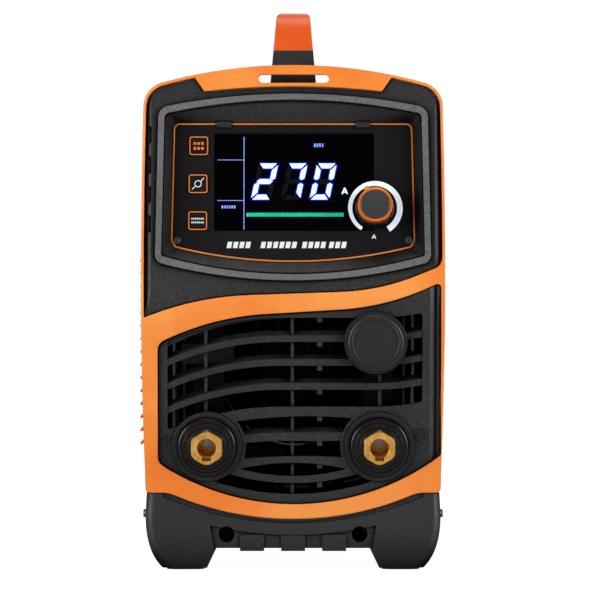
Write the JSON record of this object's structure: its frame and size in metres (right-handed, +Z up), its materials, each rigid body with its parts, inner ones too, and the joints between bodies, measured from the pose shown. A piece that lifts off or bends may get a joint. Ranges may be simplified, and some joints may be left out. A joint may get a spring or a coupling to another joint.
{
  "type": "stick welding inverter",
  "caption": "Portable stick welding inverter: orange steel casing, black moulded ends, recessed display with knob and buttons, slatted front grille, weld-cable sockets, carry handle.",
  "frame": {"origin": "on the floor under the middle of the machine's bounding box", "axes": "+Z up, -Y out of the front panel, +X to the right of someone facing the front"},
  "size_m": [0.2156, 0.45, 0.3915],
  "materials": {
    "orange_plastic": "satin",
    "orange_grip": "satin",
    "orange_steel": "fine textured powder coat",
    "black_plastic": "moulded grain",
    "black_steel": "satin powder coat",
    "switch_lever": "satin",
    "module_plastic": "matt",
    "plate_grey": "fine grain",
    "bezel_grey": "coarse grain",
    "dark_glass": "gloss",
    "zinc_steel": "zinc plated",
    "board_green": "solder mask",
    "rubber": "matt",
    "dark_screw": "black oxide",
    "brass": "machined",
    "copper": "drawn copper",
    "aluminium": "extruded",
    "capacitor_sleeve": "sleeved",
    "ferrite": "matt"
  },
  "bodies": {
    "root": {"base_tray": "zinc_steel", "board_standoffs": "brass", "busbars": "copper", "cable_gland": "black_plastic", "casing_screws": "dark_screw", "choke_core": "ferrite", "choke_winding": "copper", "connector_receptacle": "black_plastic", "connector_ring": "black_plastic", "control_board": "board_green", "control_plate": "plate_grey", "cover": "orange_steel", "current_sensor": "module_plastic", "display_bezel": "bezel_grey", "earth_nut": "zinc_steel", "earth_stud": "zinc_steel", "encoder_body": "zinc_steel", "fan_frame": "black_plastic", "fan_guard": "black_steel", "foot_pads": "rubber", "front_base": "black_plastic", "front_frame": "orange_plastic", "gland_cap": "black_plastic", "gland_locknut": "black_plastic", "grille_panel": "black_plastic", "handle_bolts": "zinc_steel", "handle_bridge": "black_plastic", "handle_grip": "orange_grip", "heatsinks": "aluminium", "inner_deck": "zinc_steel", "lcd_module": "zinc_steel", "lcd_window": "dark_glass", "mains_capacitors": "capacitor_sleeve", "negative_socket_body": "black_plastic", "negative_socket_brass": "brass", "plate_pinstripe": "orange_plastic", "plate_screws": "dark_screw", "positive_socket_body": "black_plastic", "positive_socket_brass": "brass", "power_board": "board_green", "power_modules": "module_plastic", "power_switch": "black_plastic", "rear_base": "black_plastic", "rear_frame": "orange_plastic", "rear_panel": "black_steel", "socket_bolts": "zinc_steel", "socket_nuts": "zinc_steel", "transformer_core": "ferrite", "transformer_winding": "copper", "upper_panel": "black_plastic"},
    "knob": {"knob_skirt": "black_plastic", "knob_sleeve": "orange_grip", "knob_face": "bezel_grey", "encoder_shaft": "zinc_steel"},
    "button_mode": {"button_mode": "plate_grey"},
    "button_electrode": {"button_electrode": "plate_grey"},
    "button_settings": {"button_settings": "plate_grey"},
    "connector_cap": {"connector_cap": "black_plastic"},
    "fan_rotor": {"fan_rotor": "black_plastic"},
    "power_switch_lever": {"power_switch_lever": "switch_lever"}
  },
  "joints": [
    {"name": "knob_turn", "type": "hinge", "parent": "root", "child": "knob", "pos_m": [0.0567, -0.20166, 0.25038], "axis": [0, -0.9914, 0.1305], "continuous": true},
    {"name": "button_mode_press", "type": "slide", "parent": "root", "child": "button_mode", "axis": [0, 0.9914, -0.1305], "range_m": [0, 0.0006], "stiffness_N_per_m": 600},
    {"name": "button_electrode_press", "type": "slide", "parent": "root", "child": "button_electrode", "axis": [0, 0.9914, -0.1305], "range_m": [0, 0.0006], "stiffness_N_per_m": 600},
    {"name": "button_settings_press", "type": "slide", "parent": "root", "child": "button_settings", "axis": [0, 0.9914, -0.1305], "range_m": [0, 0.0006], "stiffness_N_per_m": 600},
    {"name": "connector_cap_pull", "type": "slide", "parent": "root", "child": "connector_cap", "axis": [0, -0.9976, -0.0698], "range_m": [0, 0.014]},
    {"name": "fan_spin", "type": "hinge", "parent": "root", "child": "fan_rotor", "pos_m": [0, 0.17, 0.128], "axis": [0, 1, 0], "continuous": true},
    {"name": "power_switch_throw", "type": "hinge", "parent": "root", "child": "power_switch_lever", "pos_m": [0.042, 0.208, 0.275], "axis": [1, 0, 0], "range_deg": [0, 70]}
  ]
}
